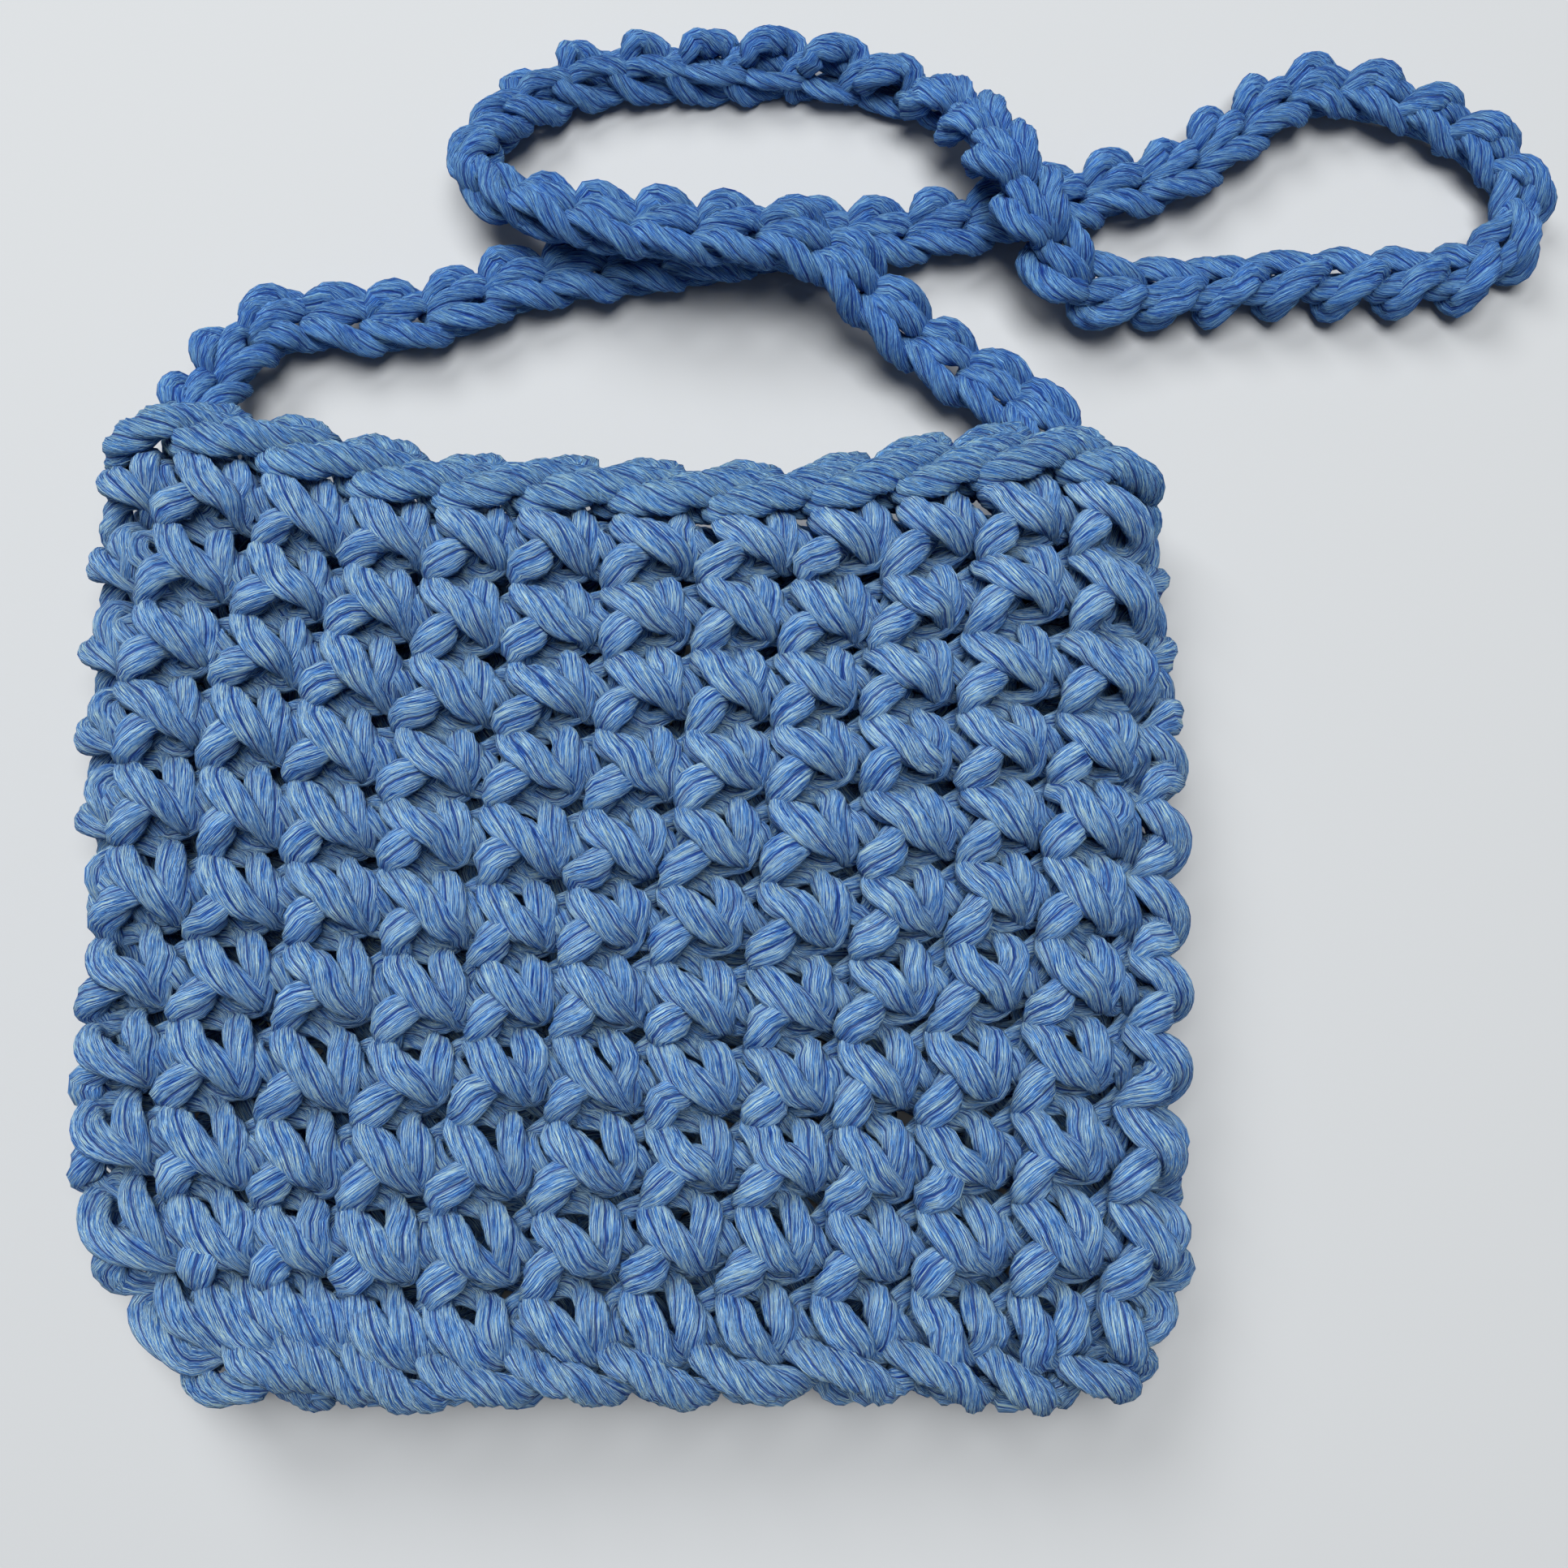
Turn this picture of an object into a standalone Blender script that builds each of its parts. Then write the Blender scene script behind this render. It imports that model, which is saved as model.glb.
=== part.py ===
"""Small crochet shoulder bag that lies on its back: a hollow pouch, the edging round its mouth and a strap.

The pouch lies on the floor at z = 0, with its base towards -Y, its mouth towards +Y and its front face up.
"""

from math import cos, pi, sin, sqrt

import bmesh
import bpy
from mathutils import Vector

# Driving dimensions, in metres

BAG_WIDTH = 0.186
BAG_HEIGHT = 0.168
WALL = 0.010
INSIDE_GAP = 0.006
LEFT_CORNER_RADIUS = 0.040
RIGHT_CORNER_RADIUS = 0.024
BASE_BAND = 0.008
RIB_DEPTH = 0.0012
FOLD_RIB_DEPTH = 0.0024
MOUTH_SAG = 0.0135
MOUTH_STEP = 0.004
EDGING_WIDTH = 0.009
STRAP_WIDTH = 0.0115
CLEARANCE = 0.0006

# Counts

ROUNDS = 11
FLAT_STEPS = 18
FOLD_STEPS = 7
INSIDE_RINGS = 12
STRAP_POINTS = 76

# Where each fold lies, as a share of half the bag's width, at a share of the height from base to lip
FOLD_LINES = (
    {"up": 0.00, "left": 0.900, "right": 0.950},
    {"up": 0.22, "left": 0.930, "right": 0.976},
    {"up": 0.47, "left": 0.955, "right": 0.984},
    {"up": 0.70, "left": 0.998, "right": 1.000},
    {"up": 0.92, "left": 1.000, "right": 0.994},
    {"up": 1.00, "left": 0.990, "right": 0.988},
)

# How far the mouth hangs below its highest point, as a share of the sag, across the bag
MOUTH_LINE = (
    {"across": -1.00, "drop": 0.05},
    {"across": -0.85, "drop": 0.18},
    {"across": -0.60, "drop": 0.52},
    {"across": -0.35, "drop": 0.92},
    {"across": -0.10, "drop": 1.00},
    {"across": 0.30, "drop": 0.94},
    {"across": 0.55, "drop": 0.74},
    {"across": 0.80, "drop": 0.50},
    {"across": 1.00, "drop": 0.78},
)

# One crochet round from its groove up, with the depth as a share of the rib depth
RIB = (
    {"up": 0.00, "depth": 1.00},
    {"up": 0.20, "depth": 0.25},
    {"up": 0.42, "depth": 0.00},
    {"up": 0.76, "depth": 0.00},
)

# Heights of the sections that round off the base, as shares of the base band
BASE_SECTIONS = (0.05, 0.18, 0.40, 0.75)

# The strap's middle line, chosen by hand: from the left end of the mouth, round both loops, to the right end
STRAP_ROUTE = (
    (-0.0805, 0.0826, 0.0130),
    (-0.0748, 0.0985, 0.0084),
    (-0.0677, 0.1063, 0.0060),
    (-0.0595, 0.1073, 0.00575),
    (-0.0474, 0.1068, 0.00575),
    (-0.0354, 0.1099, 0.00575),
    (-0.0235, 0.1150, 0.00575),
    (-0.0054, 0.1180, 0.00575),
    (0.0098, 0.1205, 0.00575),
    (0.0312, 0.1244, 0.00575),
    (0.0465, 0.1250, 0.00575),
    (0.0619, 0.1279, 0.00575),
    (0.0852, 0.1339, 0.00575),
    (0.1008, 0.1384, 0.00575),
    (0.1154, 0.1491, 0.00575),
    (0.1269, 0.1561, 0.00575),
    (0.1409, 0.1548, 0.00575),
    (0.1558, 0.1474, 0.00575),
    (0.1644, 0.1377, 0.00575),
    (0.1645, 0.1265, 0.00575),
    (0.1559, 0.1166, 0.00575),
    (0.1374, 0.1143, 0.00575),
    (0.1223, 0.1143, 0.00575),
    (0.1070, 0.1129, 0.00575),
    (0.0918, 0.1122, 0.0063),
    (0.0795, 0.1122, 0.0100),
    (0.0727, 0.1197, 0.0158),
    (0.0664, 0.1325, 0.0180),
    (0.0593, 0.1465, 0.0112),
    (0.0486, 0.1562, 0.0062),
    (0.0313, 0.1607, 0.00575),
    (0.0156, 0.1613, 0.00575),
    (0.0030, 0.1613, 0.00575),
    (-0.0079, 0.1607, 0.00575),
    (-0.0188, 0.1571, 0.00575),
    (-0.0279, 0.1491, 0.0066),
    (-0.0321, 0.1386, 0.0096),
    (-0.0275, 0.1291, 0.0138),
    (-0.0146, 0.1222, 0.0172),
    (-0.0023, 0.1193, 0.0178),
    (0.0099, 0.1180, 0.0178),
    (0.0236, 0.1176, 0.0176),
    (0.0342, 0.1146, 0.0158),
    (0.0432, 0.1071, 0.0118),
    (0.0551, 0.0980, 0.0080),
    (0.0665, 0.0897, 0.0090),
    (0.0754, 0.0792, 0.0132),
)

# Cotton yarn colours
BODY_BLUE = (0.085, 0.235, 0.610, 1.0)
EDGING_BLUE = (0.105, 0.270, 0.650, 1.0)
STRAP_BLUE = (0.070, 0.200, 0.560, 1.0)
YARN_ROUGHNESS = 0.9

# Sizes that follow from the driving dimensions

HALF_WIDTH = BAG_WIDTH / 2
HALF_DEPTH = WALL + INSIDE_GAP / 2
TOP_OF_BAG = BAG_HEIGHT / 2
BASE_OF_BAG = -BAG_HEIGHT / 2
BODY_HEIGHT = BAG_HEIGHT - MOUTH_SAG - EDGING_WIDTH - CLEARANCE
ROUND_HEIGHT = (BODY_HEIGHT - BASE_BAND) / ROUNDS


def clear_scene():
    for thing in list(bpy.data.objects):
        bpy.data.objects.remove(thing, do_unlink=True)


def yarn_material(name, colour):
    material = bpy.data.materials.new(name)
    material.use_nodes = True
    shader = material.node_tree.nodes["Principled BSDF"]
    shader.inputs["Base Color"].default_value = colour
    shader.inputs["Roughness"].default_value = YARN_ROUGHNESS
    shader.inputs["Metallic"].default_value = 0.0
    material.diffuse_color = colour
    return material


def slope_at(table, index, key, column):
    """Slope of a table's column at one row, from the rows on both sides."""
    before = table[max(index - 1, 0)]
    after = table[min(index + 1, len(table) - 1)]
    return (after[column] - before[column]) / (after[key] - before[key])


def read_table(table, key, column, share):
    """Value of a table's column at a share between its rows, on a smooth curve through them."""
    share = min(max(share, table[0][key]), table[-1][key])
    index = 0
    while index < len(table) - 2 and share > table[index + 1][key]:
        index += 1
    low = table[index]
    high = table[index + 1]
    span = high[key] - low[key]
    t = (share - low[key]) / span
    rise = slope_at(table, index, key, column) * span
    fall = slope_at(table, index + 1, key, column) * span
    return (
        low[column] * (2 * t**3 - 3 * t**2 + 1)
        + rise * (t**3 - 2 * t**2 + t)
        + high[column] * (3 * t**2 - 2 * t**3)
        + fall * (t**3 - t**2)
    )


def arc_inset(radius, rise):
    """How far a quarter round of this radius stands back from its side at a rise above its foot."""
    if rise >= radius:
        return 0.0
    return radius - sqrt(radius**2 - (radius - rise) ** 2)


def half_width(side, height, inset):
    """Distance from the middle to one fold at a height above the base, less an inset from the outer face."""
    corner = LEFT_CORNER_RADIUS if side == "left" else RIGHT_CORNER_RADIUS
    line = HALF_WIDTH * read_table(FOLD_LINES, "up", side, height / BODY_HEIGHT)
    return line - inset - arc_inset(corner - inset, height - inset)


def half_depth(height, inset):
    """Half the pouch's thickness at a height above the base, less an inset from the outer face."""
    radius = HALF_DEPTH - inset
    return radius - arc_inset(radius, height - inset)


def flat_loop(left, right, half):
    """Points (x, z) of a loop with flat sides and round ends, about the pouch's middle height."""
    first = half - left
    last = right - half
    points = []
    for step in range(FLAT_STEPS):
        points.append((first + (last - first) * step / FLAT_STEPS, half))
    for step in range(FOLD_STEPS):
        angle = pi / 2 - pi * step / FOLD_STEPS
        points.append((last + half * cos(angle), half * sin(angle)))
    for step in range(FLAT_STEPS):
        points.append((last - (last - first) * step / FLAT_STEPS, -half))
    for step in range(FOLD_STEPS):
        angle = -pi / 2 - pi * step / FOLD_STEPS
        points.append((first + half * cos(angle), half * sin(angle)))
    return points


def mouth_loop():
    """Points (x, y, z) round the mouth at the middle of the wall, with y on the edging's upper face."""
    inset = EDGING_WIDTH / 2
    left = half_width("left", BODY_HEIGHT, inset)
    right = half_width("right", BODY_HEIGHT, inset)
    half = HALF_DEPTH - inset
    points = []
    for x, z in flat_loop(left, right, half):
        drop = read_table(MOUTH_LINE, "across", "drop", x / (HALF_WIDTH - inset))
        step = MOUTH_STEP * z / half / 2
        points.append((x, TOP_OF_BAG - MOUTH_SAG * drop + step, z))
    return points


def body_ring(height, inset, dip, fold_dip, mouth):
    """One section of the pouch, bent so that sections near the mouth follow its sagging line."""
    left = half_width("left", height, inset) - fold_dip
    right = half_width("right", height, inset) - fold_dip
    loop = flat_loop(left, right, half_depth(height, inset) - dip)
    ring = []
    for (x, z), (_, top, _) in zip(loop, mouth):
        lip = top - EDGING_WIDTH - CLEARANCE
        y = BASE_OF_BAG + (lip - BASE_OF_BAG) * height / BODY_HEIGHT
        ring.append((x, y, z + HALF_DEPTH))
    return ring


def outside_rings(mouth):
    rings = []
    for share in BASE_SECTIONS:
        rings.append(body_ring(BASE_BAND * share, 0.0, 0.0, 0.0, mouth))
    for number in range(ROUNDS):
        for row in RIB:
            height = BASE_BAND + ROUND_HEIGHT * (number + row["up"])
            dip = RIB_DEPTH * row["depth"]
            fold_dip = FOLD_RIB_DEPTH * row["depth"]
            rings.append(body_ring(height, 0.0, dip, fold_dip, mouth))
    rings.append(body_ring(BODY_HEIGHT, 0.0, RIB_DEPTH / 2, FOLD_RIB_DEPTH / 2, mouth))
    return rings


def inside_rings(mouth):
    """Sections of the hollow, from the mouth down to its rounded floor."""
    rounding = INSIDE_GAP / 2
    floor = WALL
    heights = []
    for share in (0.03, 0.25, 0.6):
        heights.append(floor + rounding * share)
    straight = BODY_HEIGHT - floor - rounding
    for number in range(INSIDE_RINGS + 1):
        heights.append(floor + rounding + straight * number / INSIDE_RINGS)
    rings = []
    for height in reversed(heights):
        rings.append(body_ring(height, WALL, 0.0, 0.0, mouth))
    return rings


def make_body(collection):
    """The pouch as one closed loft: up the outside, over the lip and down the inside."""
    mouth = mouth_loop()
    mesh = bmesh.new()
    rings = []
    for ring in outside_rings(mouth) + inside_rings(mouth):
        rings.append([mesh.verts.new(point) for point in ring])
    for lower, upper in zip(rings, rings[1:]):
        for index in range(len(lower)):
            follow = (index + 1) % len(lower)
            mesh.faces.new((lower[index], lower[follow], upper[follow], upper[index]))
    mesh.faces.new(list(reversed(rings[0])))
    mesh.faces.new(rings[-1])
    bmesh.ops.recalc_face_normals(mesh, faces=mesh.faces)
    data = bpy.data.meshes.new("bag_body")
    mesh.to_mesh(data)
    mesh.free()
    data.shade_smooth()
    data.materials.append(yarn_material("body_yarn", BODY_BLUE))
    body = bpy.data.objects.new("bag_body", data)
    collection.objects.link(body)
    return body


def tube(name, points, closed, width, colour, collection):
    """A round tube along a line of points, with filled ends where the line is open."""
    curve = bpy.data.curves.new(name, "CURVE")
    curve.dimensions = "3D"
    curve.resolution_u = 1
    curve.render_resolution_u = 0
    curve.bevel_depth = width / 2
    curve.bevel_resolution = 2
    curve.use_fill_caps = not closed
    spline = curve.splines.new("POLY")
    spline.points.add(len(points) - 1)
    for target, point in zip(spline.points, points):
        target.co = (*point, 1.0)
    spline.use_cyclic_u = closed
    curve.materials.append(yarn_material(f"{name}_yarn", colour))
    thing = bpy.data.objects.new(name, curve)
    collection.objects.link(thing)
    return thing


def make_edging(collection):
    """The chain of loops that finishes the mouth, as one closed band just above the pouch's lip."""
    points = []
    for x, top, z in mouth_loop():
        points.append((x, top - EDGING_WIDTH / 2, z + HALF_DEPTH))
    return tube("mouth_edging", points, True, EDGING_WIDTH, EDGING_BLUE, collection)


def smooth_line(route, count):
    """Evenly spaced points on a smooth curve through the points of a route."""
    corners = [Vector(point) for point in route]
    dense = []
    per_span = 16
    for index in range(len(corners) - 1):
        before = corners[max(index - 1, 0)]
        start = corners[index]
        end = corners[index + 1]
        after = corners[min(index + 2, len(corners) - 1)]
        for step in range(per_span):
            t = step / per_span
            dense.append(
                start
                + (end - before) * (t / 2)
                + (before * 2 - start * 5 + end * 4 - after) * (t**2 / 2)
                + (start * 3 - before - end * 3 + after) * (t**3 / 2)
            )
    dense.append(corners[-1])
    travelled = [0.0]
    for first, second in zip(dense, dense[1:]):
        travelled.append(travelled[-1] + (second - first).length)
    points = []
    index = 0
    for number in range(count):
        target = travelled[-1] * number / (count - 1)
        while index < len(dense) - 2 and travelled[index + 1] < target:
            index += 1
        span = travelled[index + 1] - travelled[index]
        points.append(dense[index].lerp(dense[index + 1], (target - travelled[index]) / span))
    return points


def make_strap(collection):
    """The crocheted strap, a soft band that lies in two loops above the mouth."""
    points = smooth_line(STRAP_ROUTE, STRAP_POINTS)
    return tube("shoulder_strap", points, False, STRAP_WIDTH, STRAP_BLUE, collection)


def main():
    clear_scene()
    collection = bpy.data.collections.new("crochet_bag")
    bpy.context.scene.collection.children.link(collection)
    make_body(collection)
    make_edging(collection)
    make_strap(collection)


main()
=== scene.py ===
"""Looks of the crochet bag: every round, the mouth edging and the strap as swept cotton yarn."""

import math

import bpy
import numpy as np
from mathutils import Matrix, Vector


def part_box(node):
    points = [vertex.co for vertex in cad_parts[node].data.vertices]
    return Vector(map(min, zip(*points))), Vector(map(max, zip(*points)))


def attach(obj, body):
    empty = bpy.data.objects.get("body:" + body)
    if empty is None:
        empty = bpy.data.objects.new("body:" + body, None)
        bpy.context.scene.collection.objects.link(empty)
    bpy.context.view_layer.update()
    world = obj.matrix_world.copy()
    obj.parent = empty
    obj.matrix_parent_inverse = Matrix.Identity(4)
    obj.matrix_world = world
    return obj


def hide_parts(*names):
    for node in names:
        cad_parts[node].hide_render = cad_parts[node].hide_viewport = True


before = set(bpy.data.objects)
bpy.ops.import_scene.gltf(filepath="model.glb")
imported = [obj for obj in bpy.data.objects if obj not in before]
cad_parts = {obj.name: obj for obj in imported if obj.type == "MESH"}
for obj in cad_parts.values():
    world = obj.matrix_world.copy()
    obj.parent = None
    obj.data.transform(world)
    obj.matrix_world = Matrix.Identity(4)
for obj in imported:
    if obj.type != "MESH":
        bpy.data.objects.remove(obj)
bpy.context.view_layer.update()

# Sizes of the bag, in metres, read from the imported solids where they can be

BODY_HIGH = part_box("bag_body")[1]
HALF_WIDTH = 0.093
HALF_DEPTH = BODY_HIGH[2] / 2
BAG_HEIGHT = 0.168
WALL = 0.010
EDGING_WIDTH = 0.009
CLEARANCE = 0.0006
MOUTH_SAG = 0.0135
MOUTH_STEP = 0.004
LEFT_CORNER_RADIUS = 0.040
RIGHT_CORNER_RADIUS = 0.024
BASE_BAND = 0.008
CORNER_REACH = 0.045
LEAST_BEND = 0.002
ROUNDS = 11
STITCHES = 24
BODY_HEIGHT = BAG_HEIGHT - MOUTH_SAG - EDGING_WIDTH - CLEARANCE
ROUND_HEIGHT = (BODY_HEIGHT - BASE_BAND) / ROUNDS

# Share of the height, then the left and right folds as shares of half the width
FOLD_LINES = np.array((
    (0.00, 0.900, 0.950),
    (0.22, 0.930, 0.976),
    (0.47, 0.955, 0.984),
    (0.70, 0.998, 1.000),
    (0.92, 1.000, 0.994),
    (1.00, 0.990, 0.988),
))

# Place across the bag, then the drop of the mouth as a share of its sag
MOUTH_LINE = np.array((
    (-1.00, 0.05),
    (-0.85, 0.18),
    (-0.60, 0.52),
    (-0.35, 0.92),
    (-0.10, 1.00),
    (0.30, 0.94),
    (0.55, 0.74),
    (0.80, 0.50),
    (1.00, 0.78),
))

# The yarn's way through one stitch: across in stitches, up in rounds,
# then out from the wall's middle and the yarn's radius, both in mm
STITCH = np.array((
    (0.50, 0.10, -3.4, 2.0),
    (0.70, 0.13, -1.9, 1.9),
    (0.81, 0.21, 0.1, 2.0),
    (0.79, 0.40, 1.7, 2.5),
    (0.74, 0.60, 2.5, 2.9),
    (0.67, 0.78, 1.4, 2.6),
    (0.54, 0.90, -1.4, 2.0),
    (0.34, 0.95, -2.5, 1.9),
    (0.17, 0.91, -1.2, 2.0),
    (0.12, 0.81, 0.8, 2.4),
    (0.20, 0.69, 2.8, 3.0),
    (0.36, 0.51, 3.8, 3.2),
    (0.53, 0.33, 3.2, 2.9),
    (0.70, 0.20, 1.2, 2.1),
    (0.80, 0.16, -1.0, 1.8),
    (0.95, 0.25, -3.1, 2.0),
))
STITCH_NEAR_MOUTH = np.array((
    (0.50, 0.10, -3.4, 2.0),
    (0.70, 0.13, -1.9, 1.9),
    (0.82, 0.22, 0.0, 2.0),
    (0.81, 0.42, 1.2, 2.4),
    (0.75, 0.62, 1.9, 2.8),
    (0.67, 0.79, 1.0, 2.6),
    (0.54, 0.90, -1.5, 2.0),
    (0.34, 0.94, -2.5, 1.9),
    (0.15, 0.89, -1.2, 2.0),
    (0.10, 0.79, 0.8, 2.4),
    (0.20, 0.68, 2.8, 3.0),
    (0.42, 0.52, 3.9, 3.3),
    (0.63, 0.36, 3.3, 3.0),
    (0.78, 0.23, 1.2, 2.2),
    (0.82, 0.17, -1.2, 1.8),
    (0.95, 0.25, -3.1, 2.0),
))
CHAIN_LOOP = np.array((
    (1.12, 0.50, -3.4, 2.1),
    (1.12, 0.76, -1.8, 1.9),
    (1.10, 0.90, 0.8, 2.2),
    (1.13, 1.02, 2.8, 3.1),
    (1.22, 1.17, 3.4, 3.4),
    (1.32, 1.33, 1.8, 2.6),
    (1.41, 1.41, -1.2, 2.0),
    (1.36, 1.26, -3.2, 2.1),
    (1.10, 0.95, -3.5, 2.0),
))
STITCH_END = np.array((
    (0.86, 0.72, -2.0, 1.9),
    (0.84, 0.60, 0.3, 2.1),
    (0.93, 0.48, 1.0, 2.3),
    (1.03, 0.36, -0.2, 2.0),
    (1.22, 0.20, -2.7, 2.0),
))
EDGE_LOOP = np.array((
    (-0.04, 1.04, -1.0, 2.2),
    (0.00, 1.00, 1.2, 2.7),
    (0.16, 0.98, 3.4, 3.2),
    (0.46, 1.05, 4.3, 3.5),
    (0.80, 1.20, 3.8, 3.5),
    (1.10, 1.33, 2.2, 3.1),
    (1.36, 1.42, 0.0, 2.7),
    (1.54, 1.52, -2.0, 2.5),
    (1.48, 1.66, -3.6, 2.6),
    (1.20, 1.70, -4.2, 2.8),
    (0.90, 1.62, -4.2, 2.7),
    (0.74, 1.35, -3.2, 2.4),
    (0.80, 1.05, -1.8, 2.1),
))
BASE_LOOP = np.array((
    (-0.10, 0.22, 0.2, 2.2),
    (0.01, 0.22, 2.6, 2.6),
    (0.24, 0.19, 4.4, 3.0),
    (0.56, 0.10, 4.9, 3.1),
    (0.88, 0.01, 4.2, 2.8),
    (1.08, -0.05, 2.0, 2.3),
    (1.12, -0.14, -0.6, 2.0),
    (0.98, -0.21, 0.9, 2.3),
    (0.78, -0.22, 1.8, 2.6),
    (0.64, -0.16, 0.4, 2.2),
    (0.70, 0.00, -1.6, 2.0),
    (0.82, 0.16, -1.4, 2.0),
))
COLUMN_LEAN = 0.10

# The strap's way from the left end of the mouth to the right end, along its middle
STRAP_ROUTE = np.array((
    (-0.0805, 0.0826, 0.0130),
    (-0.0748, 0.0985, 0.0084),
    (-0.0677, 0.1063, 0.0060),
    (-0.0595, 0.1073, 0.00575),
    (-0.0474, 0.1068, 0.00575),
    (-0.0354, 0.1099, 0.00575),
    (-0.0235, 0.1150, 0.00575),
    (-0.0054, 0.1180, 0.00575),
    (0.0098, 0.1205, 0.00575),
    (0.0312, 0.1244, 0.00575),
    (0.0465, 0.1250, 0.00575),
    (0.0619, 0.1279, 0.00575),
    (0.0852, 0.1339, 0.00575),
    (0.1008, 0.1384, 0.00575),
    (0.1154, 0.1491, 0.00575),
    (0.1269, 0.1561, 0.00575),
    (0.1409, 0.1548, 0.00575),
    (0.1558, 0.1474, 0.00575),
    (0.1644, 0.1377, 0.00575),
    (0.1645, 0.1265, 0.00575),
    (0.1559, 0.1166, 0.00575),
    (0.1374, 0.1143, 0.00575),
    (0.1223, 0.1143, 0.00575),
    (0.1070, 0.1129, 0.00575),
    (0.0918, 0.1122, 0.0063),
    (0.0795, 0.1122, 0.0100),
    (0.0727, 0.1197, 0.0158),
    (0.0664, 0.1325, 0.0180),
    (0.0593, 0.1465, 0.0112),
    (0.0486, 0.1562, 0.0062),
    (0.0313, 0.1607, 0.00575),
    (0.0156, 0.1613, 0.00575),
    (0.0030, 0.1613, 0.00575),
    (-0.0079, 0.1607, 0.00575),
    (-0.0188, 0.1571, 0.00575),
    (-0.0279, 0.1491, 0.0066),
    (-0.0321, 0.1386, 0.0096),
    (-0.0275, 0.1291, 0.0138),
    (-0.0146, 0.1222, 0.0172),
    (-0.0023, 0.1193, 0.0178),
    (0.0099, 0.1180, 0.0178),
    (0.0236, 0.1176, 0.0176),
    (0.0342, 0.1146, 0.0158),
    (0.0432, 0.1071, 0.0118),
    (0.0551, 0.0980, 0.0080),
    (0.0665, 0.0897, 0.0090),
    (0.0754, 0.0792, 0.0132),
))
STRAP_STITCHES = 58

# Row of the route, then how far the strap's braided face is turned from facing up, in degrees
STRAP_TURN = np.array((
    (0.0, 10.0),
    (6.0, 0.0),
    (12.0, 10.0),
    (15.0, 0.0),
    (24.0, 0.0),
    (26.0, 5.0),
    (28.0, 20.0),
    (30.0, 120.0),
    (32.0, 175.0),
    (34.0, 200.0),
    (36.0, 270.0),
    (38.0, 335.0),
    (40.0, 360.0),
    (46.0, 370.0),
))

# One loop of the strap's braid: along in stitches, across and out in mm, radius in mm
BRAID_LOOP = np.array((
    (0.00, -2.2, 1.0, 2.1),
    (0.20, -2.9, 2.5, 2.4),
    (0.50, -3.8, 2.8, 2.6),
    (0.80, -4.7, 1.8, 2.5),
    (1.02, -4.6, 0.0, 2.2),
    (1.17, -3.4, -1.3, 2.0),
    (1.24, -1.6, -1.8, 1.9),
    (1.17, 0.2, -1.3, 2.0),
    (1.02, 1.4, 0.0, 2.2),
    (0.80, 1.3, 1.8, 2.5),
    (0.50, 0.5, 2.8, 2.6),
    (0.20, -0.5, 2.5, 2.4),
    (0.00, -1.2, 0.8, 2.0),
    (-0.02, -1.7, -1.5, 1.9),
    (0.25, -2.0, -3.1, 2.0),
    (0.65, -2.0, -3.1, 2.0),
    (0.92, -1.9, -1.3, 1.9),
))

# One turn of the strap's second row round the braid's edge, and where the strap is wrung into a rope
WOUND_LOOP = np.array((
    (0.00, 0.8, -0.8, 2.0),
    (0.05, 1.6, 1.4, 2.3),
    (0.13, 2.7, 2.8, 2.5),
    (0.28, 3.9, 2.8, 2.8),
    (0.46, 4.5, 1.4, 2.9),
    (0.62, 4.6, -0.4, 2.9),
    (0.76, 4.1, -2.0, 2.6),
    (0.84, 3.2, -2.8, 2.4),
    (0.88, 2.3, -3.0, 2.2),
    (0.90, 1.5, -2.6, 2.0),
    (0.93, 0.9, -1.8, 1.9),
    (0.97, 0.6, -1.4, 1.9),
))

ROPE_LOOP = np.array((
    (0.00, -3.0, 0.6, 2.3),
    (0.08, -2.2, 2.4, 2.6),
    (0.24, -0.8, 3.6, 2.9),
    (0.42, 1.0, 3.8, 3.0),
    (0.58, 2.6, 3.0, 2.9),
    (0.70, 3.7, 1.2, 2.7),
    (0.76, 3.9, -0.8, 2.5),
    (0.79, 3.2, -2.6, 2.3),
    (0.83, 1.8, -3.4, 2.2),
    (0.87, -0.4, -3.4, 2.2),
    (0.91, -2.2, -2.8, 2.2),
    (0.96, -3.0, -1.2, 2.3),
))
ROPE_STRETCH = (0.33, 0.56)

# How the yarn is drawn: lengths in metres, depths as shares of its radius

RING_STEP = 0.00125
SIDES = 12
CURVE_STEPS = 8
PLY_LAY = 0.034
EDGE_LAY = 0.017
STRAP_LAY = 0.022
PLIES = 3
PLY_DEPTH = 0.27
FLATTENED = 0.14
FLOOR_GIVE = 0.0008

# How uneven the handwork is: across in stitches, up in rounds, out in mm, then the radius as a share

WALL_SEED = 11
WALL_UNEVEN = (0.018, 0.020, 0.18, 0.035)
BRAID_SEED = 5
WOUND_SEED = 6
STRAP_UNEVEN = (0.02, 0.2, 0.2, 0.04)

# Colours of the painted highlight on the raised threads, the threads, and the painted shade in the gaps
# between threads and in the ply grooves

BODY_COLOURS = ((0.66, 0.93, 1.0, 1.0), (0.11, 0.38, 0.92, 1.0), (0.012, 0.055, 0.36, 1.0))
# The edging's colours, and even more the strap's, are darker copies of the body's cotton: painted shade.
EDGING_COLOURS = ((0.56, 0.88, 1.0, 1.0), (0.10, 0.37, 0.92, 1.0), (0.012, 0.053, 0.36, 1.0))
STRAP_COLOURS = ((0.36, 0.70, 1.0, 1.0), (0.065, 0.28, 0.86, 1.0), (0.012, 0.054, 0.38, 1.0))
WHITE = (1.0, 1.0, 1.0)


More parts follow.
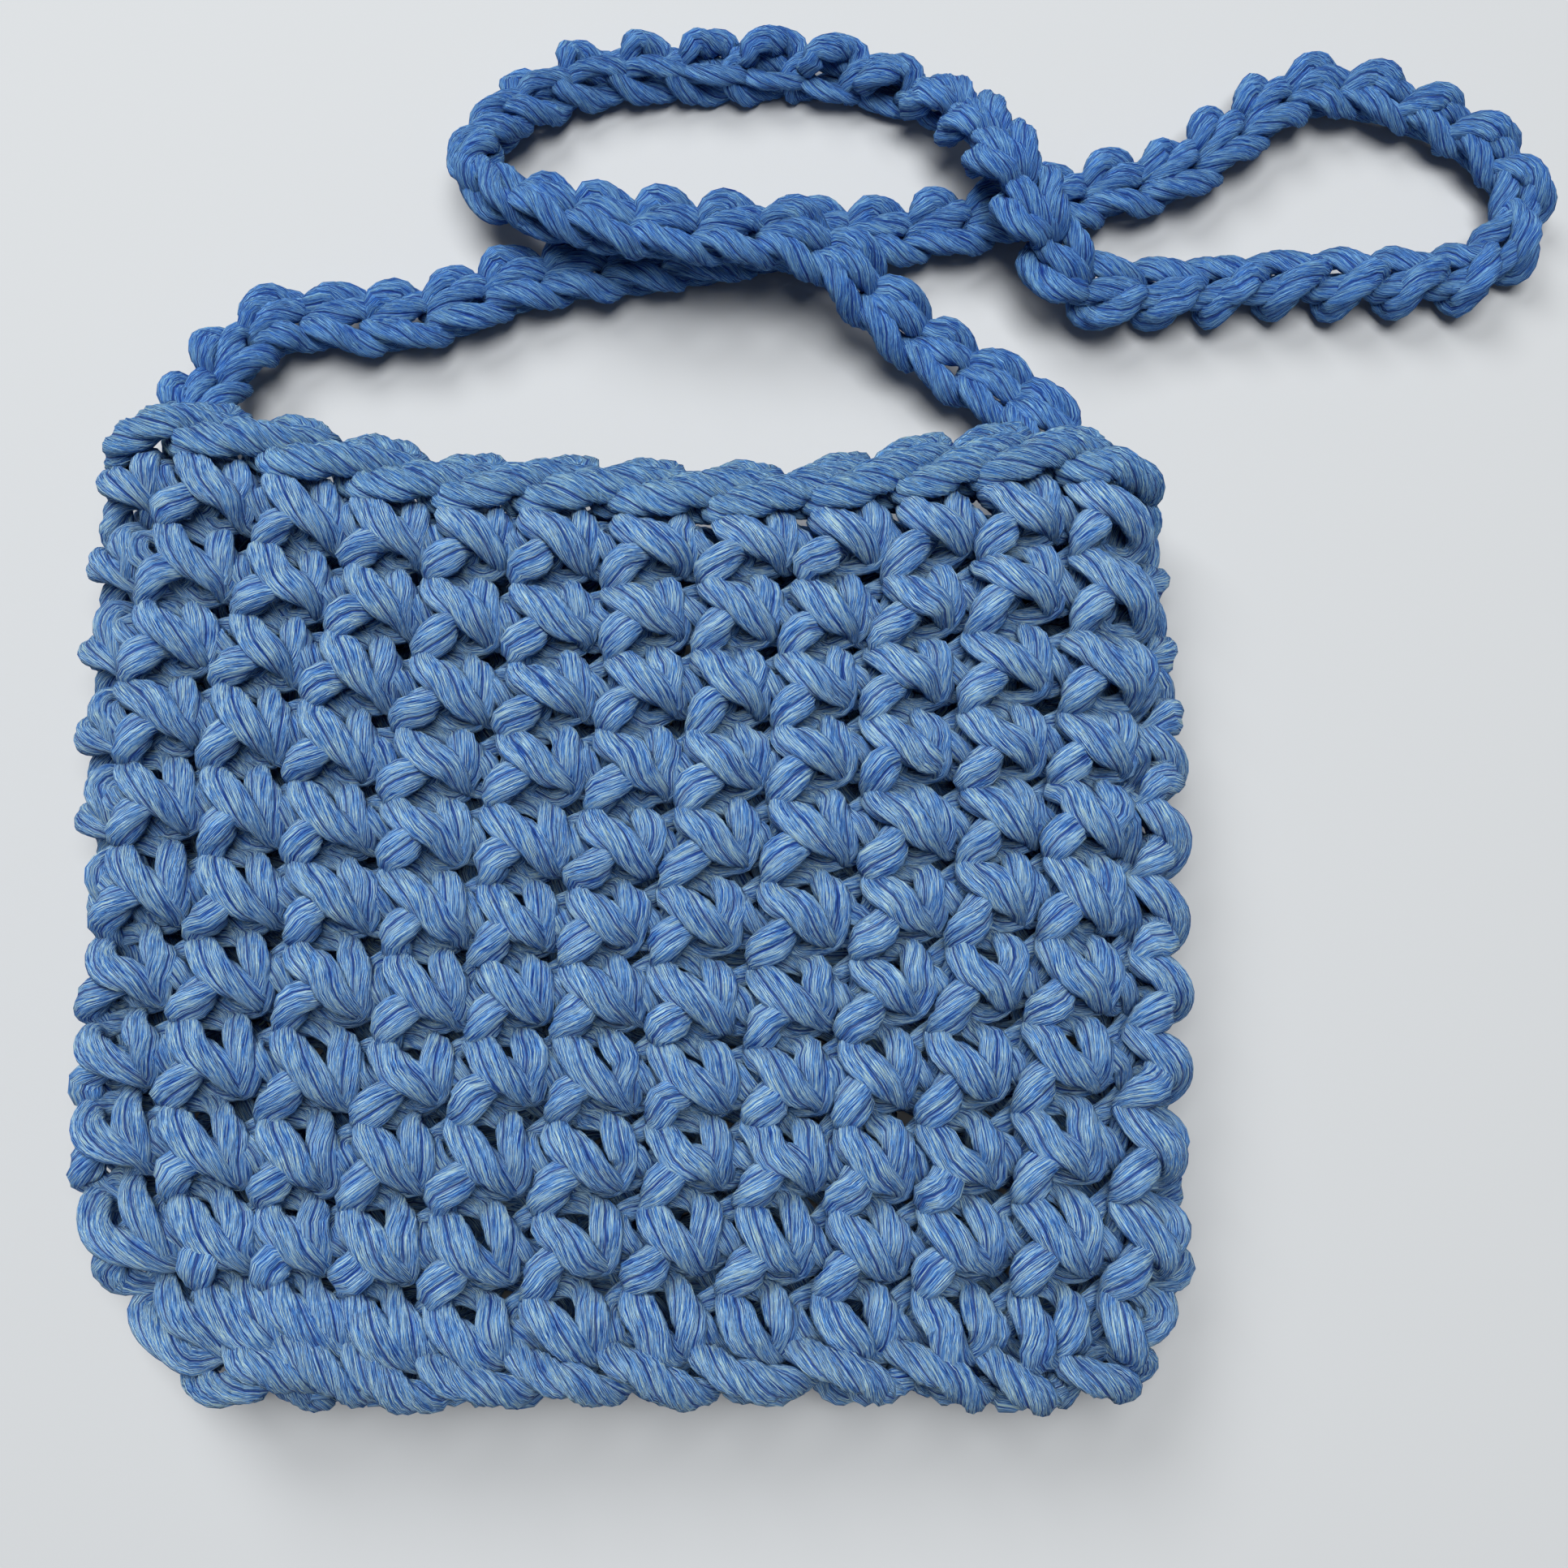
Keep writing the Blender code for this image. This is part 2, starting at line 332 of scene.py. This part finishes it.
def read_table(table, column, share):
    """Values of a column at an array of shares, on a smooth curve through the rows."""
    key = table[:, 0]
    value = table[:, column]
    before = np.r_[0, np.arange(len(key) - 1)]
    after = np.r_[np.arange(1, len(key)), len(key) - 1]
    slope = (value[after] - value[before]) / (key[after] - key[before])
    share = np.clip(share, key[0], key[-1])
    index = np.clip(np.searchsorted(key, share, side="right") - 1, 0, len(key) - 2)
    span = key[index + 1] - key[index]
    t = (share - key[index]) / span
    return (
        value[index] * (2 * t**3 - 3 * t**2 + 1)
        + slope[index] * span * (t**3 - 2 * t**2 + t)
        + value[index + 1] * (3 * t**2 - 2 * t**3)
        + slope[index + 1] * span * (t**3 - t**2)
    )


def arc_inset(radius, rise):
    """How far a quarter round stands back from its side at each rise above its foot."""
    rest = np.clip(radius - rise, 0, radius)
    return radius - np.sqrt(radius**2 - rest**2)


def drawn_in(distance, nominal, actual):
    """Distances from the middle, drawn in near a rounded corner and left alone elsewhere."""
    reach = nominal - actual + CORNER_REACH
    share = np.clip((distance - nominal + reach) / reach, 0, 1)
    return distance - (nominal - actual) * share**2


def wall_middle(turn, up):
    """Points on the middle of the pouch's wall: turn in stitches from the left fold, up in rounds."""
    inset = WALL / 2
    height = BASE_BAND + ROUND_HEIGHT * up
    share = np.clip(height / BODY_HEIGHT, 0, 1)
    bend = HALF_DEPTH - inset
    half = np.maximum(bend - arc_inset(bend, height - inset), LEAST_BEND)
    left = HALF_WIDTH * read_table(FOLD_LINES, 1, share) - inset - bend
    right = HALF_WIDTH * read_table(FOLD_LINES, 2, share) - inset - bend
    left_end = left - arc_inset(LEFT_CORNER_RADIUS - inset, height - inset) + bend - half
    right_end = right - arc_inset(RIGHT_CORNER_RADIUS - inset, height - inset) + bend - half
    flat = left + right
    fold = math.pi * bend
    around = np.mod(turn / STITCHES, 1.0) * 2 * (flat + fold)
    front = around < flat
    right_fold = (around >= flat) & (around < flat + fold)
    back = (around >= flat + fold) & (around < 2 * flat + fold)
    left_fold = ~(front | right_fold | back)
    angle = np.where(right_fold, math.pi / 2 - (around - flat) / bend, 0.0)
    angle = np.where(left_fold, -math.pi / 2 - (around - 2 * flat - fold) / bend, angle)
    across = np.where(front, around - left, right - (around - flat - fold))
    across = np.where(
        across < 0,
        -drawn_in(-across, left, left_end),
        drawn_in(across, right, right_end),
    )
    x = np.where(right_fold, right_end + half * np.cos(angle), across)
    x = np.where(left_fold, -left_end + half * np.cos(angle), x)
    z = np.where(front, half, np.where(back, -half, half * np.sin(angle)))
    drop = read_table(MOUTH_LINE, 1, x / (HALF_WIDTH - inset))
    lip = BAG_HEIGHT / 2 - MOUTH_SAG * drop - EDGING_WIDTH - CLEARANCE
    lip = lip + MOUTH_STEP * z / half / 2
    base = -BAG_HEIGHT / 2
    y = base + (lip - base) * height / BODY_HEIGHT
    return np.stack([x, y, z + HALF_DEPTH], -1)


def wall_outward(turn, up):
    """Outward directions of the wall, from its slopes along and up."""
    reach = 0.02
    along = wall_middle(turn + reach, up) - wall_middle(turn - reach, up)
    rise = wall_middle(turn, up + reach) - wall_middle(turn, up - reach)
    out = np.cross(along, rise)
    return out / np.linalg.norm(out, axis=-1, keepdims=True)


def wobble(turn, up):
    """The hand-made unevenness of the fabric, in stitches across and rounds up, smooth over its surface."""
    angle = 2 * math.pi * turn / STITCHES
    across = 0.06 * np.sin(3 * angle + 1.3 * up) + 0.05 * np.sin(5 * angle - 0.9 * up + 2.0)
    rise = 0.05 * np.sin(4 * angle + 0.8 * up + 0.7) + 0.04 * np.sin(7 * angle - 1.7 * up)
    return across, rise


def place_on_wall(rows, level):
    """Points, radii and outward directions of a table's rows, repeated round the wall for each stitch."""
    copies = []
    for number in range(STITCHES):
        copy = rows.copy()
        copy[:, 0] += number
        copies.append(copy)
    path = np.vstack(copies)
    random = np.random.default_rng(WALL_SEED + int(level * 10))
    jitter = random.normal(0.0, 1.0, path.shape)
    up = path[:, 1] + level
    turn = path[:, 0] + COLUMN_LEAN * up
    across, rise = wobble(turn, up)
    turn = turn + across + WALL_UNEVEN[0] * jitter[:, 0]
    up = up + rise + WALL_UNEVEN[1] * jitter[:, 1]
    out = (path[:, 2] + WALL_UNEVEN[2] * jitter[:, 2]) * 0.001
    radius = path[:, 3] * 0.001 * (1 + WALL_UNEVEN[3] * jitter[:, 3])
    outward = wall_outward(turn, up)
    points = wall_middle(turn, up) + outward * out[:, None]
    return points, radius, outward


def smooth_open(values, steps):
    """A smooth curve through rows of values that starts at the first and ends at the last."""
    before = np.vstack([values[:1], values[:-2]])
    start = values[:-1]
    end = values[1:]
    after = np.vstack([values[2:], values[-1:]])
    t = np.linspace(0, 1, steps, endpoint=False)[None, :, None]
    before, start, end, after = (part[:, None, :] for part in (before, start, end, after))
    curve = (
        start
        + (end - before) * t / 2
        + (before * 2 - start * 5 + end * 4 - after) * t**2 / 2
        + (start * 3 - before - end * 3 + after) * t**3 / 2
    )
    return np.vstack([curve.reshape(-1, values.shape[1]), values[-1:]])


def smooth_closed(values, steps):
    """A closed smooth curve through rows of values, with a number of steps between each two."""
    before = np.roll(values, 1, axis=0)
    end = np.roll(values, -1, axis=0)
    after = np.roll(values, -2, axis=0)
    t = np.linspace(0, 1, steps, endpoint=False)[None, :, None]
    before, start, end, after = (part[:, None, :] for part in (before, values, end, after))
    curve = (
        start
        + (end - before) * t / 2
        + (before * 2 - start * 5 + end * 4 - after) * t**2 / 2
        + (start * 3 - before - end * 3 + after) * t**3 / 2
    )
    return curve.reshape(-1, values.shape[1])


def evenly_spaced(values, step, closed):
    """Rows at even distances along a curve whose first three columns are places."""
    if closed:
        values = np.vstack([values, values[:1]])
    gaps = np.linalg.norm(np.diff(values[:, :3], axis=0), axis=1)
    travelled = np.r_[0, np.cumsum(gaps)]
    count = max(8, int(round(travelled[-1] / step)))
    marks = np.linspace(0, travelled[-1], count + 1)
    columns = [np.interp(marks, travelled, values[:, column]) for column in range(values.shape[1])]
    rows = np.stack(columns, 1)
    if closed:
        rows = rows[:-1]
    return rows, marks


def turned_frames(points, closed):
    """Two directions across a curve at each point, carried along it without twist."""
    if closed:
        tangent = np.roll(points, -1, axis=0) - np.roll(points, 1, axis=0)
    else:
        tangent = np.gradient(points, axis=0)
    tangent /= np.linalg.norm(tangent, axis=1, keepdims=True)
    side = np.empty_like(points)
    current = np.cross(tangent[0], (0.3, 0.2, 1.0))
    for index in range(len(points)):
        current = current - tangent[index] * (current @ tangent[index])
        current = current / np.linalg.norm(current)
        side[index] = current
    return tangent, side, np.cross(tangent, side)


def yarn_rings(rows, marks, lay, sides, closed):
    """The yarn's skin: a ring of points round each row, its plies wound round each other."""
    points = rows[:, :3]
    radius = rows[:, 3]
    tangent, side, other = turned_frames(points, closed)
    wound = 2 * math.pi * marks[: len(points)] / lay
    if closed:
        carried = side[-1] - tangent[0] * (side[-1] @ tangent[0])
        gap = math.atan2(carried @ other[0], carried @ side[0])
        total = 2 * math.pi * marks[-1] / lay + gap
        wanted = 2 * math.pi * round(total / (2 * math.pi))
        wound = wound + (wanted - total) * marks[: len(points)] / marks[-1]
    theta = 2 * math.pi * np.arange(sides) / sides
    profile = 1 - PLY_DEPTH * (1 - np.abs(np.cos(PLIES / 2 * theta)))
    angle = theta[None, :] + wound[:, None]
    reach = radius[:, None] * profile[None, :]
    offset = (reach * np.cos(angle))[..., None] * side[:, None, :]
    offset = offset + (reach * np.sin(angle))[..., None] * other[:, None, :]
    outward = rows[:, 4:7]
    outward = outward - tangent * np.sum(outward * tangent, axis=1, keepdims=True)
    size = np.linalg.norm(outward, axis=1, keepdims=True)
    outward = outward / np.maximum(size, 1e-6)
    depth = np.einsum("ijk,ik->ij", offset, outward)
    offset = offset - (FLATTENED * size * depth)[..., None] * outward[:, None, :]
    return points[:, None, :] + offset


def rest_on_floor(rings):
    """Yarn that would sink into the floor is pressed flat on it."""
    height = rings[..., 2]
    pressed = FLOOR_GIVE * np.exp((height - FLOOR_GIVE) / (FLOOR_GIVE * 1.6))
    rings[..., 2] = np.where(height < FLOOR_GIVE, pressed, height)
    return rings


def yarn_mesh(name, rings, marks, closed):
    """A mesh of the yarn's skin, with a map that runs round the yarn in turns and along it in metres."""
    count, sides, _ = rings.shape
    spans = count if closed else count - 1
    start = np.arange(spans)[:, None] * sides
    follow = ((np.arange(spans) + 1) % count)[:, None] * sides
    corner = np.arange(sides)[None, :]
    beside = (corner + 1) % sides
    faces = np.stack([start + corner, start + beside, follow + beside, follow + corner], -1)
    faces = faces.reshape(-1, 4)
    mesh = bpy.data.meshes.new(name)
    mesh.vertices.add(count * sides)
    mesh.vertices.foreach_set("co", rings.reshape(-1).astype(np.float32))
    mesh.loops.add(faces.size)
    mesh.loops.foreach_set("vertex_index", faces.reshape(-1).astype(np.int32))
    mesh.polygons.add(len(faces))
    mesh.polygons.foreach_set("loop_start", (np.arange(len(faces)) * 4).astype(np.int32))
    mesh.update(calc_edges=True)
    round_low = np.broadcast_to(corner / sides, (spans, sides))
    round_high = np.broadcast_to((corner + 1) / sides, (spans, sides))
    along_low = np.broadcast_to(marks[:spans, None], (spans, sides))
    along_high = np.broadcast_to(marks[1 : spans + 1, None], (spans, sides))
    layout = np.stack(
        [round_low, along_low, round_high, along_low, round_high, along_high, round_low, along_high], -1
    )
    chart = mesh.uv_layers.new(name="yarn")
    chart.data.foreach_set("uv", layout.reshape(-1).astype(np.float32))
    mesh.validate()
    mesh.shade_smooth()
    piece = bpy.data.objects.new(name, mesh)
    bpy.context.scene.collection.objects.link(piece)
    return piece


def closed_yarn(name, points, radius, outward, lay, material):
    """A loop of yarn all the way round the bag."""
    values = np.concatenate([points, radius[:, None], outward], axis=1)
    rows, marks = evenly_spaced(smooth_closed(values, CURVE_STEPS), RING_STEP, True)
    rings = rest_on_floor(yarn_rings(rows, marks, lay, SIDES, True))
    piece = yarn_mesh(name, rings, marks, True)
    piece.data.materials.append(material)
    return piece


def threads_group():
    """Fine cotton threads along the yarn, as a colour and a height; the colour paints a highlight on the
    raised threads and shade in the low gaps between them and in the grooves between the plies.
    """
    group = bpy.data.node_groups.new("Cotton threads", "ShaderNodeTree")
    sockets = group.interface
    sockets.new_socket("Along yarn", in_out="INPUT", socket_type="NodeSocketVector")
    sockets.new_socket("Painted highlight", in_out="INPUT", socket_type="NodeSocketColor")
    sockets.new_socket("Thread", in_out="INPUT", socket_type="NodeSocketColor")
    sockets.new_socket("Painted shade", in_out="INPUT", socket_type="NodeSocketColor")
    sockets.new_socket("Color", in_out="OUTPUT", socket_type="NodeSocketColor")
    sockets.new_socket("Height", in_out="OUTPUT", socket_type="NodeSocketFloat")
    nodes = group.nodes
    join = group.links.new
    given = nodes.new("NodeGroupInput")
    result = nodes.new("NodeGroupOutput")
    split = nodes.new("ShaderNodeSeparateXYZ")
    join(given.outputs["Along yarn"], split.inputs[0])

    def math_node(operation, first, second=None):
        node = nodes.new("ShaderNodeMath")
        node.operation = operation
        join(first, node.inputs[0])
        if isinstance(second, float):
            node.inputs[1].default_value = second
        elif second is not None:
            join(second, node.inputs[1])
        return node.outputs[0]

    turn = math_node("MULTIPLY", split.outputs[0], 2 * math.pi)

    def noise(vector, scale, detail, roughness):
        node = nodes.new("ShaderNodeTexNoise")
        node.inputs["Scale"].default_value = scale
        node.inputs["Detail"].default_value = detail
        node.inputs["Roughness"].default_value = roughness
        join(vector, node.inputs["Vector"])
        return node.outputs[0]

    def round_the_yarn(stretch):
        place = nodes.new("ShaderNodeCombineXYZ")
        join(math_node("COSINE", turn), place.inputs[0])
        join(math_node("SINE", turn), place.inputs[1])
        join(math_node("MULTIPLY", split.outputs[1], stretch), place.inputs[2])
        return place.outputs[0]

    def step_between(low, high, value):
        node = nodes.new("ShaderNodeMapRange")
        node.inputs["From Min"].default_value = low
        node.inputs["From Max"].default_value = high
        join(value, node.inputs[0])
        return node.outputs[0]

    def blend(share, first, second):
        node = nodes.new("ShaderNodeMix")
        node.data_type = "RGBA"
        join(share, node.inputs[0])
        join(first, node.inputs[6])
        join(second, node.inputs[7])
        return node.outputs[2]

    threads = noise(round_the_yarn(17.0), 20.0, 3.0, 0.7)
    groove = math_node("ABSOLUTE", math_node("COSINE", math_node("MULTIPLY", turn, PLIES / 2)))
    # Painted light: the raised threads get a painted highlight and the low gaps between them get painted
    # shade, both from the same noise as the bump.
    light = step_between(0.49, 0.60, threads)
    lit = blend(light, given.outputs["Thread"], given.outputs["Painted highlight"])
    raised = step_between(0.40, 0.49, threads)
    coloured = blend(raised, given.outputs["Painted shade"], lit)
    # Painted shade in the grooves between the plies: the colour there is the painted gap shade.
    clear_of_groove_shade = step_between(0.0, 0.20, groove)
    join(blend(clear_of_groove_shade, given.outputs["Painted shade"], coloured), result.inputs["Color"])
    join(math_node("ADD", threads, math_node("MULTIPLY", clear_of_groove_shade, 0.6)), result.inputs["Height"])
    return group


def cotton_material(name, threads_tree, colours):
    """Matt cotton in its thread colour, with a painted highlight on the raised threads and painted shade in
    the gaps between them and in the ply grooves.
    """
    light, thread, shade_colour = colours
    material = bpy.data.materials.new(name)
    material.use_nodes = True
    nodes = material.node_tree.nodes
    join = material.node_tree.links.new
    shader = nodes["Principled BSDF"]
    chart = nodes.new("ShaderNodeUVMap")
    chart.uv_map = "yarn"
    threads = nodes.new("ShaderNodeGroup")
    threads.node_tree = threads_tree
    threads.inputs["Painted highlight"].default_value = light
    threads.inputs["Thread"].default_value = thread
    threads.inputs["Painted shade"].default_value = shade_colour
    join(chart.outputs[0], threads.inputs["Along yarn"])
    join(threads.outputs["Color"], shader.inputs["Base Color"])
    relief = nodes.new("ShaderNodeBump")
    relief.inputs["Strength"].default_value = 1.0
    relief.inputs["Distance"].default_value = 0.0012
    join(threads.outputs["Height"], relief.inputs["Height"])
    join(relief.outputs[0], shader.inputs["Normal"])
    shader.inputs["Roughness"].default_value = 0.85
    shader.inputs["Specular IOR Level"].default_value = 0.2
    return material


def make_body(material):
    """Eleven rounds of single crochet, the last without a chain of its own, and the base chain."""
    pieces = []
    for number in range(ROUNDS):
        last = number == ROUNDS - 1
        near = number / (ROUNDS - 1)
        stitch = STITCH * (1 - near) + STITCH_NEAR_MOUTH * near
        parts = (stitch, STITCH_END) if last else (stitch, CHAIN_LOOP, STITCH_END)
        points, radius, outward = place_on_wall(np.vstack(parts), float(number))
        pieces.append(
            closed_yarn(f"round_{number + 1:02d}", points, radius, outward, PLY_LAY, material)
        )
    points, radius, outward = place_on_wall(BASE_LOOP, 0.0)
    pieces.append(closed_yarn("base_chain", points, radius, outward, EDGE_LAY, material))
    for piece in pieces:
        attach(piece, "root")
        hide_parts("bag_body")


def make_edging(material):
    """The rope-like chain of loops all the way round the mouth."""
    points, radius, outward = place_on_wall(EDGE_LOOP, ROUNDS - 1.0)
    piece = closed_yarn("edging_chain", points, radius, outward, EDGE_LAY, material)
    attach(piece, "root")
    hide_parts("mouth_edging")


def place_on_strap(rows, wrung_rows, seed):
    """A table's rows repeated along the strap's route, with the route's length, in metres."""
    copies = []
    start, end = ROPE_STRETCH
    for number in range(STRAP_STITCHES):
        place = number / STRAP_STITCHES
        wrung = np.clip(min(place - start, end - place) / 0.05, 0, 1)
        copy = rows * (1 - wrung) + wrung_rows * wrung
        copy[:, 0] += number
        copies.append(copy)
    path = np.vstack(copies)
    random = np.random.default_rng(seed)
    jitter = random.normal(0.0, 1.0, path.shape)
    row_number = np.arange(len(STRAP_ROUTE))[:, None]
    route = smooth_open(np.hstack([STRAP_ROUTE, row_number]), 12)
    middle, marks = evenly_spaced(route, 0.001, False)
    length = marks[-1]
    along = np.clip((path[:, 0] + STRAP_UNEVEN[0] * jitter[:, 0]) / STRAP_STITCHES, 0.0, 1.0) * length
    point = np.stack([np.interp(along, marks, middle[:, axis]) for axis in range(4)], 1)
    reach = 0.004
    ahead = np.stack([np.interp(along + reach, marks, middle[:, axis]) for axis in range(3)], 1)
    behind = np.stack([np.interp(along - reach, marks, middle[:, axis]) for axis in range(3)], 1)
    tangent = ahead - behind
    tangent /= np.linalg.norm(tangent, axis=1, keepdims=True)
    left = np.cross((0.0, 0.0, 1.0), tangent)
    left /= np.linalg.norm(left, axis=1, keepdims=True)
    above = np.cross(tangent, left)
    turned = np.radians(read_table(STRAP_TURN, 1, point[:, 3]))[:, None]
    across = left * np.cos(turned) + above * np.sin(turned)
    out = above * np.cos(turned) - left * np.sin(turned)
    shift = (path[:, 1] + STRAP_UNEVEN[1] * jitter[:, 1])[:, None] * 0.001
    rise = (path[:, 2] + STRAP_UNEVEN[2] * jitter[:, 2])[:, None] * 0.001
    points = point[:, :3] + across * shift + out * rise
    radius = path[:, 3] * 0.001 * (1 + STRAP_UNEVEN[3] * jitter[:, 3])
    return points, radius, np.zeros_like(points), length


def make_strap(material):
    """The strap's braid and the row that winds along its edge, as one piece."""
    parts = []
    thinner = BRAID_LOOP * (1.0, 0.95, 0.80, 0.96)
    for rows, wrung_rows, seed in ((BRAID_LOOP, thinner, BRAID_SEED), (WOUND_LOOP, ROPE_LOOP, WOUND_SEED)):
        points, radius, outward, length = place_on_strap(rows, wrung_rows, seed)
        values = np.concatenate([points, radius[:, None], outward], axis=1)
        drawn, marks = evenly_spaced(smooth_open(values, CURVE_STEPS), RING_STEP, False)
        rings = rest_on_floor(yarn_rings(drawn, marks, STRAP_LAY, SIDES, False))
        part = yarn_mesh("strap_yarn", rings, marks, False)
        part.data.materials.append(material)
        parts.append(part)
    bpy.ops.object.select_all(action="DESELECT")
    for part in parts:
        part.select_set(True)
    bpy.context.view_layer.objects.active = parts[0]
    bpy.ops.object.join()
    strap = parts[0]
    strap.name = "strap_yarn"
    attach(strap, "root")
    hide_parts("shoulder_strap")


def make_camera():
    """The photograph's view: steeply down, from a little below the bag's middle."""
    camera = bpy.data.cameras.new("camera")
    camera.sensor_width = 36.0
    camera.lens = 36.34
    camera.clip_start = 0.01
    holder = bpy.data.objects.new("camera", camera)
    holder.location = (0.026, -0.04314, 0.27348)
    holder.rotation_euler = (math.radians(13), 0.0, 0.0)
    bpy.context.scene.collection.objects.link(holder)
    bpy.context.scene.camera = holder


def area_light(name, place, target, size, power, colour):
    """A square light that faces its target."""
    light = bpy.data.lights.new(name, "AREA")
    light.size = size
    light.energy = power
    light.color = colour
    holder = bpy.data.objects.new(name, light)
    holder.location = place
    direction = Vector(target) - Vector(place)
    holder.rotation_euler = direction.to_track_quat("-Z", "Y").to_euler()
    bpy.context.scene.collection.objects.link(holder)


def make_studio():
    """The pale floor, a faint surrounding light, and soft light from a window and a ceiling."""
    floor_size = 3.0
    bpy.ops.object.select_all(action="DESELECT")
    bpy.ops.mesh.primitive_plane_add(size=floor_size, location=(0.0, 0.0, 0.0))
    floor = bpy.context.object
    floor.name = "floor"
    material = bpy.data.materials.new("pale_floor")
    material.use_nodes = True
    shader = material.node_tree.nodes["Principled BSDF"]
    shader.inputs["Base Color"].default_value = (0.46, 0.475, 0.487, 1.0)
    shader.inputs["Roughness"].default_value = 0.8
    floor.data.materials.append(material)
    world = bpy.data.worlds.new("studio")
    bpy.context.scene.world = world
    world.use_nodes = True
    world.node_tree.nodes["Background"].inputs["Color"].default_value = (0.93, 0.96, 1.0, 1.0)
    world.node_tree.nodes["Background"].inputs["Strength"].default_value = 0.10
    area_light("window", (-0.60, 0.95, 1.30), (0.0, 0.02, 0.0), 0.8, 18.0, WHITE)
    area_light("ceiling", (0.10, 0.10, 1.50), (0.04, 0.04, 0.0), 0.8, 23.0, WHITE)
    bpy.context.scene.view_settings.view_transform = "Standard"


make_camera()
cotton_threads = threads_group()
make_strap(cotton_material("strap_cotton", cotton_threads, STRAP_COLOURS))
make_body(cotton_material("body_cotton", cotton_threads, BODY_COLOURS))
make_edging(cotton_material("edging_cotton", cotton_threads, EDGING_COLOURS))
make_studio()
